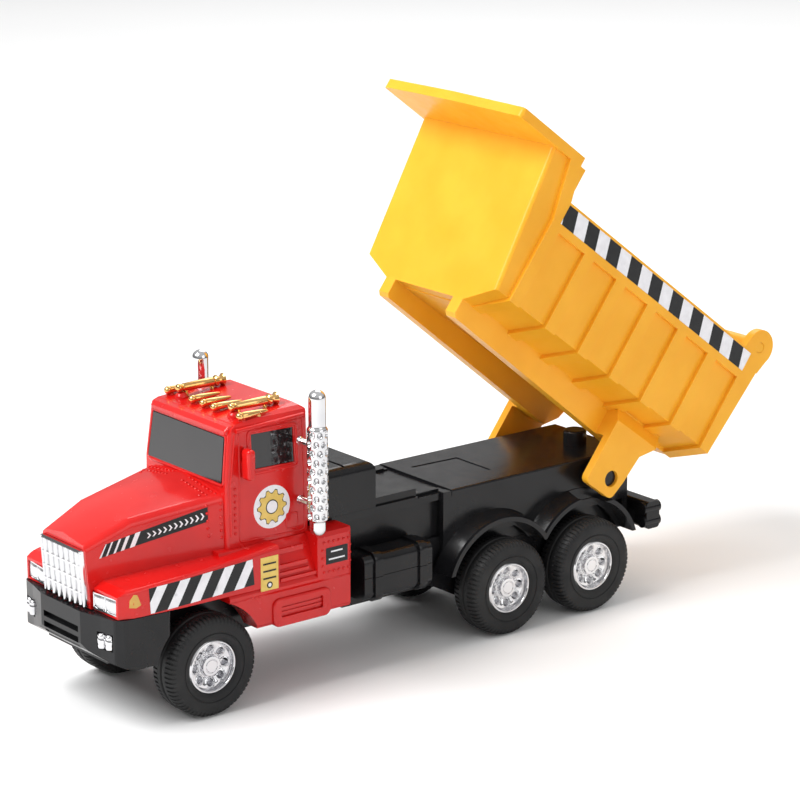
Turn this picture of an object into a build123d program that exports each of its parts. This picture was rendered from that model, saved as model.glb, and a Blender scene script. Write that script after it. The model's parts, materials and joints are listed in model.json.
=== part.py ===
from build123d import *
import math
import os

# Toy dump truck, millimetres, modelled in its own working frame:
# X runs forward with 0 at the front axle, Y runs to the truck's left, Z is up from the ground.
# At the end every piece is shifted so that the origin is the bottom centre of the whole truck.

# ---------------------------------------------------------------- driving dimensions
TYRE_R = 9.3
TYRE_W = 6.6
TYRE_OUT_Y = 17.3
HUB_R = 5.0
HUB_W = 4.8
AXLE_R = 0.8
AXLE_HALF = 15.6
AXLE_PLAY = 0.05
AXLE_X = {"front": 0.0, "middle": -68.8, "rear": -90.1}

CAB_HALF = 12.8
CAB_REAR_X = -24.4
CAB_WALL = 1.3
COWL_X = -6.2
SILL_Z = 28.6
GRILLE_X = 19.6
FENDER_REAR_X = -14.9
SKIRT_HALF = 16.6
SKIRT_LOW_HALF = 16.1
SKIRT_LEDGE_Z = 20.4
SKIRT_REAR_X = -31.4
SKIRT_BOTTOM_Z = 13.8
ARCH_R = 11.5
STACK_X = -22.5
STACK_Y = 18.0
STACK_LOW_Z = 29.4
STACK_R = 1.5
SHIELD_R = 1.95
PIPE_R = 1.6

DECK_Z = 29.3
DECK_T = 1.2
DECK_HALF = 11.1
DECK_REAR_X = -104.0
DECK_FRONT_X = -59.2
STRIP_Z = 28.8
PLATE_REAR_X = -51.2
PLATE_Z = 30.9
PLATE_HALF = 10.2
UNDER_HALF = 9.8
WING_R = 13.5
WING_Y = 15.0
TANK_FRONT_X = -34.9
TANK_REAR_X = -50.8
TANK_BANDS_X = (-38.0, -48.5)
SCREW_X = (-26.0, -57.0)

PIVOT_X = -95.8
PIVOT_Z = 25.5
PIVOT_R = 1.58
PIVOT_BORE_R = 1.65
TILT = 36.9

BED_HALF = 20.0
BED_RECESS = 0.8
BED_WALL = 1.6
BED_RAIL_W = 36.6
BED_FLOOR_W = 11.4
BED_FLOOR_T = 1.4
BED_CHINE_W = 14.6
BED_POST_U = 49.0
BED_HEAD_LOW_U = 52.4
BED_HEAD_TOP_U = 56.6
BED_VISOR_U = 68.4
BED_VISOR_W = 43.1
BED_VISOR_T = 1.9
BED_VISOR_REAR_U = 49.2
RIB_PITCH = 10.2
RIB_LAST_U = -12.9
RIB_WIDTH = 2.9
SILL_OUT = 11.4
SILL_IN = 8.6
LUG_IN = 13.6
LUG_OUT = 15.3
FLOOR_REAR_U = -13.4
GATE_U = -14.9
GATE_W = 38.2
GATE_PIN_R = 1.0
GATE_BORE_R = 1.07
EAR_R = 3.6


# ---------------------------------------------------------------- helpers
def block(x0, x1, y0, y1, z0, z1):
    """Box between two opposite corners."""
    size = Box(x1 - x0, y1 - y0, z1 - z0)
    return Pos((x0 + x1) / 2, (y0 + y1) / 2, (z0 + z1) / 2) * size


def flat(points):
    """Face inside an outline, always facing the same way."""
    area = 0.0
    for (x0, y0), (x1, y1) in zip(points, points[1:] + points[:1]):
        area += x0 * y1 - x1 * y0
    ordered = points if area > 0 else points[::-1]
    return Polygon(*ordered, align=None)


def prism_xz(points, y0, y1):
    """Side-view outline (x, z) swept from y0 to y1."""
    face = Plane.XZ * flat(points)
    return Pos(0, y1, 0) * extrude(face, amount=y1 - y0)


def prism_yz(points, x0, x1):
    """Front-view outline (y, z) swept from x0 to x1."""
    face = Plane.YZ * flat(points)
    return Pos(x0, 0, 0) * extrude(face, amount=x1 - x0)


def prism_xy(points, z0, z1):
    """Plan outline (x, y) swept from z0 to z1."""
    return Pos(0, 0, z0) * extrude(flat(points), amount=z1 - z0)


def rod_y(x, z, radius, y0, y1):
    """Round bar across the truck."""
    return Pos(x, (y0 + y1) / 2, z) * Rot(90, 0, 0) * Cylinder(radius, y1 - y0)


def both(shape):
    """A left-hand shape and its mirror image."""
    return shape + mirror(shape, about=Plane.XZ)


def right_hand(shape):
    """The mirror image of a left-hand shape."""
    return mirror(shape, about=Plane.XZ)


def symmetric(half_points):
    """Close a half outline of (half width, height) points about the middle."""
    return [(y, z) for y, z in half_points] + [(-y, z) for y, z in reversed(half_points)]


# ---------------------------------------------------------------- cab casting
def cab_body(grow=0.0):
    """Upper cab block; a negative grow gives its inner cavity."""
    side = [(COWL_X + 0.1 + grow, 26.0), (COWL_X + grow, 40.6), (-7.3 + grow, 49.4),
            (-7.9 + grow, 50.6 + grow), (-8.9 + grow, 51.2 + grow),
            (-23.2 - grow, 52.5 + grow), (CAB_REAR_X - grow, 51.6 + grow),
            (CAB_REAR_X - grow, 26.0)]
    front = symmetric([(CAB_HALF + grow, 26.0), (CAB_HALF + grow, 41.0),
                       (12.5 + grow, 50.0 + grow), (12.3 + grow, 50.8 + grow),
                       (11.8 + grow, 51.5 + grow), (10.9 + grow, 52.1 + grow),
                       (9.2 + grow, 52.6 + grow)])
    return prism_xz(side, -14, 14) & prism_yz(front, -26, -4)


def hood_section(x, half, edge_z, ridge_z):
    """Upright cross-section of the bonnet, with a low ridge down its middle."""
    outline = symmetric([(half * 1.02, 21.6), (half, edge_z)])
    outline.insert(2, (0.0, ridge_z))
    return Plane(origin=(x, 0, 0), x_dir=(0, 1, 0), z_dir=(1, 0, 0)) * flat(outline)


def hood_body(grow=0.0):
    """Tapering bonnet; a negative grow gives its inner cavity."""
    stations = [(GRILLE_X + 0.4, 6.9, 33.0, 34.1), (11.0, 8.4, 36.5, 37.7),
                (COWL_X - 1, 12.1, 38.9, 40.5)]
    sections = [hood_section(x, half + grow, edge + grow, ridge + grow)
                for x, half, edge, ridge in stations]
    nose = [(GRILLE_X - 0.6 + grow, 21.0), (GRILLE_X + 0.3 + grow, 34.8), (-8.0, 45.0), (-8.0, 21.0)]
    return loft(sections, ruled=True) & prism_xz(nose, -14, 14)


def fender_body():
    """Front wings on both sides, with sloping tops and swept-back corners."""
    side = [(18.4, 21.5), (18.4, 25.5), (16.6, 26.5), (FENDER_REAR_X, SILL_Z + 0.2),
            (FENDER_REAR_X, 20.6), (-11.0, 21.5)]
    plan = [(18.5, -14.6), (18.5, 14.6), (15.6, 15.6), (6.0, 16.3), (FENDER_REAR_X, SKIRT_HALF),
            (FENDER_REAR_X, -SKIRT_HALF), (6.0, -16.3), (15.6, -15.6)]
    wing = prism_xz(side, -17, 17) & prism_xy(plan, 20, 30)
    tops = wing.edges().filter_by(lambda e: e.center().Z > 26 and abs(e.center().Y) > 15)
    return fillet(tops, 0.8)


def skirt_body():
    """Left running board: ribbed slope in front, square locker behind, recessed skirt below."""
    below = [(SKIRT_HALF, SKIRT_LEDGE_Z), (SKIRT_LOW_HALF, SKIRT_LEDGE_Z - 0.6),
             (SKIRT_LOW_HALF, 14.6), (15.5, SKIRT_BOTTOM_Z), (11.0, SKIRT_BOTTOM_Z)]
    slope = [(11.0, SILL_Z + 0.3), (13.2, SILL_Z), (16.1, 21.5), (SKIRT_HALF, 20.9)] + below
    locker_outline = [(11.0, 29.0), (16.0, 29.0), (SKIRT_HALF, 28.3)] + below
    locker = prism_yz(locker_outline, SKIRT_REAR_X, -23.4)
    rear = SKIRT_REAR_X
    locker &= prism_xy([(-23.0, 10.0), (-23.0, SKIRT_HALF), (rear + 0.9, SKIRT_HALF),
                        (rear + 0.3, SKIRT_HALF - 0.3), (rear, SKIRT_HALF - 0.9), (rear, 10.0)],
                       10.0, 30.0)
    body = prism_yz(slope, -24.0, -4.0) + locker
    for height, half, rib_rear in ((22.0, 0.3, -23.4), (23.0, 0.3, -22.0), (24.2, 0.35, -22.0),
                               (26.7, 0.45, -21.8)):
        face = 16.1 - (height - 21.5) * 2.9 / 7.1
        body += block(rib_rear, -15.4, face - 1.2, face + 0.45, height - half, height + half)
    return body + step_frame()


def step_frame():
    """Raised frame round the step in the skirt, with two bars across its recess."""
    frame = block(-26.6, -13.6, 14.6, SKIRT_HALF, 13.3, 18.7)
    frame = fillet(frame.edges().filter_by(Axis.Y), 1.5)
    frame = fillet(frame.faces().sort_by(Axis.Y)[-1].edges(), 0.4)
    frame -= block(-24.6, -15.3, 15.7, 17.2, 15.1, 17.4)
    for height in (15.85, 16.65):
        frame += block(-24.8, -15.1, 15.4, 16.3, height - 0.22, height + 0.22)
    return frame


def mirror_body():
    """Left door mirror cast on the windscreen pillar."""
    head = block(-11.0, -9.3, 12.9, 15.5, 41.3, 47.0)
    head = fillet(head.edges(), 0.7)
    return head + block(-10.8, -9.6, 11.9, 13.6, 42.4, 44.6)


def wheel_arches(radius, y_in, y_out):
    """Round clearances over both front wheels."""
    return both(rod_y(AXLE_X["front"], TYRE_R, radius, y_in, y_out))


def make_cab_shell():
    cab = cab_body()
    cab = fillet(cab.edges().filter_by(Axis.Z, tolerance=12), 0.7)
    hood = hood_body()
    shoulders = hood.edges().filter_by(lambda e: e.center().Z > 33 and abs(e.center().Y) > 7.2)
    hood = fillet(shoulders, 1.7)
    shell = cab + hood + fender_body() + both(skirt_body()) + both(mirror_body())
    brow = prism_xz([(-9.4, 49.4), (-7.0, 49.5), (-6.9, 50.2), (-7.6, 50.9), (-9.4, 51.2)], -11.8, 11.8)
    brow_ends = brow.edges().filter_by(lambda e: abs(e.center().Y) > 11.7 and e.center().X > -8.2)
    shell += fillet(brow_ends, 0.5)
    shell -= cab_body(-CAB_WALL) - block(-6, 20, -20, 20, 0, 60)
    shell -= hood_body(-CAB_WALL) & block(-6.5, GRILLE_X - 1.5, -13, 13, 20, 40)
    shell -= block(-23.0, -5.0, -11.4, 11.4, 12.0, 30.0)
    shell -= block(-32.0, -22.0, -11.2, 11.2, 12.0, 29.6)
    shell -= wheel_arches(ARCH_R, UNDER_HALF + 0.4, 18)
    shell -= block(-11.4, 17.0, -10.3, 10.3, 12.0, 24.2)
    shell -= block(16.8, 18.5, -14.2, 14.2, 21.8, 25.0)
    shell -= both(block(16.8, 20.0, 7.8, 14.2, 21.8, 25.0))
    shell -= block(17.9, GRILLE_X + 1.5, -6.0, 6.0, 22.2, 32.4)
    shell -= windscreen_block(0.0)
    shell -= side_window_blocks(0.0)
    return shell


def windscreen_block(gap):
    """Windscreen aperture; gap shrinks it to the pane that fills it."""
    outline = symmetric([(11.5 - gap, 40.7 + gap), (11.1 - gap, 49.0 - gap)])
    return prism_yz(outline, -9.5, -5.6)


def side_window_blocks(gap):
    outline = [(-12.0 - gap, 42.5 + gap), (-11.9 - gap, 49.0 - gap), (-21.1 + gap, 48.8 - gap),
               (-21.3 + gap, 42.3 + gap)]
    return both(prism_xz(outline, 11.0, 14.0))


def make_glazing():
    """One smoked moulding inside the cab; its panes stand in the window apertures."""
    gap = 0.08
    core = cab_body(-CAB_WALL - gap) & block(-23.5, -5, -13, 13, 40.9, 60)
    hollow = cab_body(-CAB_WALL - gap - 1.0) & block(-23, -5, -13, 13, 39, 60)
    panes = windscreen_block(gap) & cab_body(0.15)
    panes += side_window_blocks(gap) & cab_body(-0.15)
    return (core + panes) - hollow


def make_grille():
    """Plated insert: radiator grille, both headlamps and the strip that joins them."""
    grille = block(18.2, GRILLE_X - 0.1, -5.9, 5.9, 22.3, 31.9)
    surround = prism_xz([(19.1, 21.9), (19.7, 21.9), (20.4, 32.4), (19.9, 32.4)], -6.6, 6.6)
    grille += surround & prism_yz(symmetric([(5.9, 21.8), (6.5, 32.5)]), 17, 22)
    for bar in range(-3, 4):
        y = bar * 1.75
        grille += block(19.3, GRILLE_X + 0.8, y - 0.3, y + 0.3, 21.9, 32.2)
    for row in range(3):
        z = 24.4 + 2.5 * row
        grille += block(19.3, GRILLE_X + 0.5, -5.8, 5.8, z - 0.2, z + 0.2)
    grille += block(16.9, 18.4, -14.1, 14.1, 22.0, 24.9)
    grille += both(block(17.0, 18.9, 7.9, 14.1, 22.0, 24.9))
    return grille


def make_fog_lamps():
    """Left and right lamp inserts in the bumper, each with two upright lenses."""
    lamp = block(17.6, 19.3, 10.2, 13.8, 15.6, 18.5)
    for lens in range(2):
        y = 11.2 + 1.7 * lens
        lamp += Pos(19.2, y, 17.05) * Cylinder(0.75, 2.6)
    return both(lamp)


def make_stack():
    """Left exhaust stack, held off the cab's flank by two arms: rounded foot, heat shield
    and domed upper pipe."""
    stub = Pos(STACK_X, STACK_Y, 31.8) * Cylinder(STACK_R, 2.0)
    foot = Pos(STACK_X, STACK_Y, STACK_LOW_Z + STACK_R) * Sphere(STACK_R)
    shield = Pos(STACK_X, STACK_Y, 41.0) * Cylinder(SHIELD_R, 17.3)
    shield = fillet(shield.edges().filter_by(GeomType.CIRCLE), 0.4)
    pipe = Pos(STACK_X, STACK_Y, 52.3) * Cylinder(PIPE_R, 5.4)
    dome = Pos(STACK_X, STACK_Y, 55.0) * Sphere(PIPE_R)
    stack = stub + foot + shield + pipe + dome
    for height in (35.0, 46.0):
        arm = rod_y(STACK_X, height, 0.7, CAB_HALF - 1.0, STACK_Y - 1.0)
        stack += arm - cab_body()
    return stack


def make_roof_horns():
    """Two trumpet horns lying along the roof, bell to the rear."""
    horns = None
    for side in (1, -1):
        tube = Pos(-15.0, side * 8.2, 53.3) * Rot(0, 90, 0) * Cylinder(0.75, 9.4)
        bell = Pos(-20.2, side * 8.2, 53.3) * Rot(0, -90, 0) * Cone(0.75, 1.2, 1.2)
        foot = block(-18.6, -11.6, side * 8.2 - 0.35, side * 8.2 + 0.35, 51.6, 53.0)
        piece = tube + bell + foot
        horns = piece if horns is None else horns + piece
    return horns - make_cab_solid_top()


def make_cab_solid_top():
    """Outer roof block, used to seat the roof trim on the curved roof."""
    return cab_body() & block(-26, -4, -14, 14, 50, 54)


def make_roof_markers():
    """Five bullet-shaped marker lamps across the roof."""
    markers = None
    for y in (-11.2, -3.4, 0.0, 3.4, 11.2):
        body = Pos(-13.6, y, 52.2) * Rot(0, -90, 0) * Cone(0.75, 0.35, 6.4)
        nose = Pos(-10.4, y, 52.2) * Sphere(0.75)
        piece = body + nose
        markers = piece if markers is None else markers + piece
    return markers - make_cab_solid_top()


# ---------------------------------------------------------------- chassis
def tank_block(y_out, z0, z1):
    """Left fuel tank length between the running board and the rear wings."""
    tank = block(TANK_REAR_X, TANK_FRONT_X, UNDER_HALF - 0.4, y_out, 13.4, 22.0)
    tank = fillet(tank.edges().filter_by(Axis.X), 1.5)
    for x in TANK_BANDS_X:
        band = block(x - 0.9, x + 0.9, UNDER_HALF - 0.2, y_out + 0.45, 12.9, 22.5)
        tank += fillet(band.edges().filter_by(Axis.X), 1.7)
    return tank & block(TANK_REAR_X - 1, TANK_FRONT_X + 1, UNDER_HALF - 0.6, 20, z0, z1)


def tank_hollow(z0, z1):
    return block(TANK_REAR_X + 1.3, TANK_FRONT_X - 1.3, 7.0, 14.2, z0, z1)


def rear_wings():
    """Twin joined mudguards on the left side: thin shells that fall outwards to a rolled lip."""
    wings = None
    inner_y = 10.6
    for name in ("middle", "rear"):
        centre = Pos(AXLE_X[name], (inner_y + WING_Y) / 2, TYRE_R)
        shell = centre * Rot(-90, 0, 0) * Cone(WING_R + 0.9, WING_R - 0.4, WING_Y - inner_y)
        lip = rod_y(AXLE_X[name], TYRE_R, WING_R, WING_Y - 0.7, WING_Y)
        piece = shell + lip
        wings = piece if wings is None else wings + piece
    for name in ("middle", "rear"):
        wings -= rod_y(AXLE_X[name], TYRE_R, WING_R - 0.9, inner_y + 0.8, 18.0)
        wings -= rod_y(AXLE_X[name], TYRE_R, 11.6, 10.0, 18.0)
    wings &= block(-110, -50, 10.0, 18.0, 13.6, 30.0)
    wings -= block(AXLE_X["rear"], AXLE_X["middle"], 10.0, 18.0, 0.0, 16.4)
    relief = block(-102.0, -88.4, DECK_HALF + 0.1, LUG_OUT + 0.5, 21.0, 26.0)
    return wings - relief


def make_chassis_deck():
    """Upper chassis moulding: deck, side walls, box behind the cab, wings and pivots."""
    deck = block(DECK_REAR_X, DECK_FRONT_X, -DECK_HALF, DECK_HALF, DECK_Z - DECK_T, DECK_Z)
    deck = fillet(deck.edges().filter_by(Axis.X).group_by(Axis.Z)[-1], 0.4)
    deck -= prism_xy([(-62.5, -5.5), (-62.5, 5.0), (-73.5, 5.5), (-73.5, -5.0)], DECK_Z - 0.15, DECK_Z + 1)
    strip = block(DECK_FRONT_X - 1.0, PLATE_REAR_X + 1.0, -PLATE_HALF, PLATE_HALF,
                  STRIP_Z - 1.2, STRIP_Z)
    plate = block(PLATE_REAR_X, -27.0, -PLATE_HALF, PLATE_HALF, PLATE_Z - 2.4, PLATE_Z)
    plate += block(PLATE_REAR_X, -30.0, -PLATE_HALF - 0.6, PLATE_HALF + 0.6,
                   PLATE_Z - 3.1, PLATE_Z - 1.5) + strip
    box = block(-40.3, -26.4, -12.0, 12.0, PLATE_Z - 1.0, 38.7)
    tops = box.edges().group_by(Axis.Z)[-1]
    box = fillet(tops, 1.7)
    box -= block(-33.9, -33.3, -11.0, 11.0, 38.3, 39.0)
    box -= block(-39.0, -27.8, -10.6, 10.6, 29.0, 37.2)
    wall = block(DECK_REAR_X, -57.4, 9.4, DECK_HALF - 0.1, 19.2, DECK_Z - 0.2)
    wall += block(-57.6, -33.0, 7.6, 9.0, 16.4, PLATE_Z - 1.5)
    wall += block(-58.6, -57.2, 7.8, DECK_HALF - 0.1, 16.4, DECK_Z - 0.2)
    wall += block(DECK_REAR_X, -50.0, 8.4, UNDER_HALF, 16.4, 20.2)
    tank = tank_block(15.6, 17.9, 24.0) - tank_hollow(12.0, 20.7)
    wall += tank + block(TANK_REAR_X, TANK_FRONT_X, 8.8, UNDER_HALF, 17.9, 20.9)
    wall += rod_y(PIVOT_X, PIVOT_Z, PIVOT_R + 1.0, 10.0, LUG_IN - 0.2)
    wall += rod_y(PIVOT_X, PIVOT_Z, PIVOT_R, 10.0, LUG_OUT - 0.7)
    deck += plate + box + both(wall) + both(rear_wings())
    half = DECK_HALF - 0.1
    deck += block(DECK_REAR_X, DECK_REAR_X + 1.4, -half, half, 16.4, DECK_Z - 0.2)
    deck += block(-34.4, -33.0, -9.0, 9.0, 16.4, PLATE_Z - 1.0)
    bar = block(-108.4, -105.0, -15.7, 15.7, 13.4, 18.9)
    bar = fillet(bar.edges().filter_by(Axis.Y), 0.7)
    for lump in range(2):
        bar += both(Pos(-106.7, 14.6, 14.8 + 2.7 * lump) * Rot(0, 90, 0) * Cylinder(1.2, 4.2))
    bar += both(block(-105.4, DECK_REAR_X + 0.4, 6.0, 8.4, 14.6, 19.4))
    return deck + bar


def make_deck_knob():
    """Round rest on the rear of the deck that the bed floor clears."""
    knob = Pos(-98.0, 2.0, DECK_Z + 1.45) * Cylinder(2.3, 2.9)
    return fillet(knob.edges().group_by(Axis.Z)[-1], 0.5)


def bumper():
    """Front bumper with swept corners, two slots, lamp pockets and a stepped air dam."""
    plan = [(20.8, -6.4), (20.8, 6.4), (19.6, 11.0), (18.9, 14.4), (17.4, 15.6), (8.0, 16.2),
            (8.0, -16.2), (17.4, -15.6), (18.9, -14.4), (19.6, -11.0), (20.8, -6.4)]
    body = prism_xy(plan[:-1], 12.0, 21.4)
    side = [(7.0, 12.0), (15.2, 12.0), (17.4, 12.5), (19.2, 13.4), (20.4, 14.5), (20.9, 15.7),
            (21.0, 17.0), (21.0, 21.4), (7.0, 21.4)]
    body &= prism_xz(side, -17, 17)
    body = fillet(body.edges().filter_by(Axis.Z), 0.9)
    body -= block(5.0, 17.2, -13.8, 13.8, 10.0, 20.0)
    body -= both(rod_y(AXLE_X["front"], TYRE_R, ARCH_R, 9.9, 18.0))
    for z in (17.9, 15.9):
        body -= block(19.8, 21.5, -5.6, 5.6, z - 0.55, z + 0.55)
    body -= both(block(17.5, 21.5, 10.1, 13.9, 15.5, 18.6))
    body -= block(20.0, 21.5, -5.6, 5.6, 13.2, 14.9)
    return body


def make_chassis_base():
    """Lower chassis moulding: bumper, floor, axle boxes and the lower half of the tanks."""
    floor = block(-36.0, 17.4, -UNDER_HALF + 0.6, UNDER_HALF - 0.6, 11.8, 13.6)
    floor += block(-12.0, 17.4, -UNDER_HALF + 0.2, UNDER_HALF - 0.2, 11.8, 20.0)
    floor -= block(-10.6, -4.2, -8.0, 8.0, 13.6, 21.0)
    floor -= block(4.2, 16.2, -8.0, 8.0, 13.6, 21.0)
    floor += block(-4.2, 4.2, -UNDER_HALF + 0.4, UNDER_HALF - 0.4, 7.2, 13.6)
    floor += block(-102.0, -34.0, -UNDER_HALF, UNDER_HALF, 11.0, 16.3)
    floor -= block(-100.6, -35.4, -8.2, 8.2, 12.6, 17.0)
    for name in ("middle", "rear"):
        x = AXLE_X[name]
        floor += block(x - 4.2, x + 4.2, -UNDER_HALF, UNDER_HALF, 7.2, 14.0)
    ramp = [(-54.5, 11.2), (-62.0, 7.2), (-65.0, 7.2), (-65.0, 13.0), (-54.5, 13.0)]
    floor += prism_xz(ramp, -UNDER_HALF, UNDER_HALF)
    for name in AXLE_X:
        floor -= rod_y(AXLE_X[name], TYRE_R, AXLE_R + AXLE_PLAY, -12, 12)
    tank = tank_block(15.6, 12.0, 17.8) - tank_hollow(14.7, 18.0)
    floor += both(tank) + bumper()
    for x in SCREW_X:
        floor += Pos(x, 0, 14.1) * Cylinder(2.2, 5.2)
        floor -= Pos(x, 0, 14.0) * Cylinder(0.72, 9.0)
        floor -= Pos(x, 0, 11.9) * Cylinder(1.5, 2.2)
    return floor


def make_base_screws():
    """Two pan-head screws that close the chassis from below."""
    screws = None
    for x in SCREW_X:
        head = Pos(x, 0, 12.4) * Cylinder(1.4, 1.2)
        slot = block(x - 1.0, x + 1.0, -0.2, 0.2, 11.6, 12.2)
        slot += block(x - 0.2, x + 0.2, -1.0, 1.0, 11.6, 12.2)
        shank = Pos(x, 0, 15.0) * Cylinder(0.7, 4.4)
        piece = head + shank - slot
        screws = piece if screws is None else screws + piece
    return screws


# ---------------------------------------------------------------- wheels
def make_tyre(x):
    """Left tyre with a rounded shoulder and a raised ring round the bead."""
    inner = TYRE_OUT_Y - TYRE_W
    outline = [(HUB_R, inner + 0.4), (HUB_R + 0.8, inner), (TYRE_R - 1.2, inner),
               (TYRE_R - 0.2, inner + 0.8), (TYRE_R, inner + 2.0), (TYRE_R, TYRE_OUT_Y - 2.0),
               (TYRE_R - 0.2, TYRE_OUT_Y - 0.8), (TYRE_R - 1.2, TYRE_OUT_Y),
               (HUB_R + 0.9, TYRE_OUT_Y), (HUB_R, TYRE_OUT_Y - 0.5)]
    face = Plane.XY * Polygon(*outline, align=None)
    ring = revolve(face, Axis.Y)
    return Pos(x, 0, TYRE_R) * ring


def make_hub(x):
    """Left plated wheel centre: dished face, eight hand holes, centre cap and axle socket."""
    out = TYRE_OUT_Y - 0.4
    inner = out - HUB_W
    outline = [(AXLE_R, inner), (HUB_R, inner), (HUB_R, out), (HUB_R - 0.5, out),
               (HUB_R - 0.9, out - 0.9), (2.3, out - 1.5), (2.0, out - 0.7), (0.0, out - 0.6),
               (0.0, AXLE_HALF), (AXLE_R, AXLE_HALF)]
    hub = revolve(Plane.XY * Polygon(*outline, align=None), Axis.Y)
    for hole in range(8):
        angle = math.radians(45 * hole)
        cx = 3.15 * math.cos(angle)
        cz = 3.15 * math.sin(angle)
        hub -= rod_y(cx, cz, 0.55, out - 2.4, out + 1)
    return Pos(x, 0, TYRE_R) * hub


def make_axle(x):
    return rod_y(x, TYRE_R, AXLE_R, -AXLE_HALF, AXLE_HALF)


# ---------------------------------------------------------------- dump bed, in bed axes
# Bed axes: u forward, v left, w square to the bed floor, with 0 at the pivot.
def bed_outline(inset):
    """Cross-section of the tub: upright sides and a sloping chine under each side."""
    return symmetric([(SILL_OUT, BED_FLOOR_W + inset), (BED_HALF - inset, BED_CHINE_W + inset * 0.6),
                      (BED_HALF - inset, BED_RAIL_W)])


def bed_cavity():
    inner = BED_HALF - BED_WALL
    floor = BED_FLOOR_W + BED_FLOOR_T
    section = symmetric([(SILL_OUT - 0.4, floor), (inner, floor + 2.9), (inner, 50.0)])
    head = [(-25.0, 0.0), (BED_HEAD_LOW_U - 1.9, 0.0), (BED_HEAD_LOW_U - 1.4, BED_CHINE_W),
            (BED_HEAD_TOP_U - 1.4, BED_VISOR_W), (-25.0, BED_VISOR_W)]
    return prism_yz(section, -25, 60) & prism_xz(head, -25, 25)


def bed_pockets():
    """Six recessed panels per side that run from under the rail round the chine."""
    skin = prism_yz(bed_outline(-1.0), -14, 48) - prism_yz(bed_outline(BED_RECESS), -15, 49)
    skin &= block(-14, 48, -22, 22, 0, 30.6) - block(-14, 48, -SILL_OUT, SILL_OUT, 0, 60)
    pockets = None
    for index in range(6):
        u0 = RIB_LAST_U + index * RIB_PITCH
        u1 = u0 + RIB_PITCH - RIB_WIDTH
        if index == 5:
            u1 = 46.2
        piece = skin & block(u0, u1, -22, 22, 0, 40)
        pockets = piece if pockets is None else pockets + piece
    return pockets


def headboard():
    """Forward-leaning front plate with plain side returns."""
    lean = [(BED_POST_U - 2.0, BED_FLOOR_W + 0.2), (BED_HEAD_LOW_U - 0.5, BED_FLOOR_W + 0.2),
            (BED_HEAD_LOW_U, BED_CHINE_W), (BED_HEAD_TOP_U, BED_VISOR_W + 0.4),
            (BED_POST_U - 2.0, BED_VISOR_W + 0.4)]
    half = BED_HALF - BED_RECESS
    section = symmetric([(SILL_OUT, BED_FLOOR_W + 0.2), (half, BED_CHINE_W + 0.5), (half, 45.0)])
    plate = prism_xz(lean, -20, 20) & prism_yz(section, 40, 60)
    corners = plate.edges().filter_by(
        lambda e: e.center().X > 53 and abs(e.center().Y) > 18 and 20 < e.center().Z < 40)
    return fillet(corners, 0.8)


def side_posts():
    """Upright at the front end of each side wall, up to the visor."""
    outline = [(47.0, BED_RAIL_W - 1.0), (BED_POST_U, 32.0), (52.3, BED_VISOR_W + 0.4),
               (BED_VISOR_REAR_U, BED_VISOR_W + 0.4), (47.1, BED_RAIL_W + 0.2)]
    return both(prism_xz(outline, BED_HALF - BED_WALL, BED_HALF))


def visor():
    """Canopy plate along the top of the headboard."""
    rear = BED_VISOR_REAR_U
    outline = [(rear, -BED_HALF), (BED_VISOR_U - 0.6, -BED_HALF), (BED_VISOR_U, 0.0),
               (BED_VISOR_U - 0.6, BED_HALF), (rear, BED_HALF)]
    plate = prism_xy(outline, BED_VISOR_W, BED_VISOR_W + BED_VISOR_T)
    upright = plate.edges().filter_by(Axis.Z)
    front = upright.filter_by(lambda e: e.center().X > 60 and abs(e.center().Y) > 10)
    return fillet(front, 0.8)


def rear_ears():
    """Rear corner posts with the rounded ears that carry the tailgate."""
    post = prism_xz([(-11.0, BED_RAIL_W - 3.0), (-11.0, BED_RAIL_W), (GATE_U + EAR_R, GATE_W),
                     (GATE_U - EAR_R, GATE_W), (-17.4, BED_RAIL_W - 3.0)],
                    BED_HALF - BED_WALL, BED_HALF)
    return both(post + rod_y(GATE_U, GATE_W, EAR_R, BED_HALF - BED_WALL, BED_HALF))


def sills_and_lugs():
    """Two runners under the floor and the pivot lugs outside them."""
    top = BED_FLOOR_W + 0.6
    runner = [(0.5, 6.1), (51.2, 7.9), (51.9, 8.6), (51.9, top), (0.5, top)]
    sill = prism_xz(runner, SILL_IN, SILL_OUT)
    outline = [(5.8, -3.4), (5.8, 13.0), (-8.0, 13.0), (-7.0, 10.0), (-4.0, 6.8), (-3.3, 0.6),
               (-2.4, -3.4)]
    head = [(LUG_IN, -4.0), (LUG_OUT, -4.0), (LUG_OUT, 10.2), (LUG_OUT - 1.6, 12.6),
            (LUG_OUT - 1.6, 14.0), (LUG_IN, 14.0)]
    lug = prism_xz(outline, LUG_IN, LUG_OUT)
    feet = lug.edges().filter_by(Axis.Y).filter_by(lambda e: e.center().Z < -3)
    lug = fillet(feet, 1.3)
    lug &= prism_yz(head, -10, 10)
    lug += block(0.5, 5.8, SILL_IN, LUG_IN + 0.2, 6.4, 12.0)
    lug -= rod_y(0, 0, PIVOT_BORE_R, LUG_IN - 1, LUG_OUT + 1)
    return both(sill + lug)


def tub():
    side = [(-15.5, 5.0), (-15.6, BED_CHINE_W), (-17.4, BED_RAIL_W), (BED_POST_U, BED_RAIL_W),
            (BED_POST_U, 5.0)]
    return prism_yz(bed_outline(0.0), -20, BED_POST_U) & prism_xz(side, -25, 25)


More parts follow.
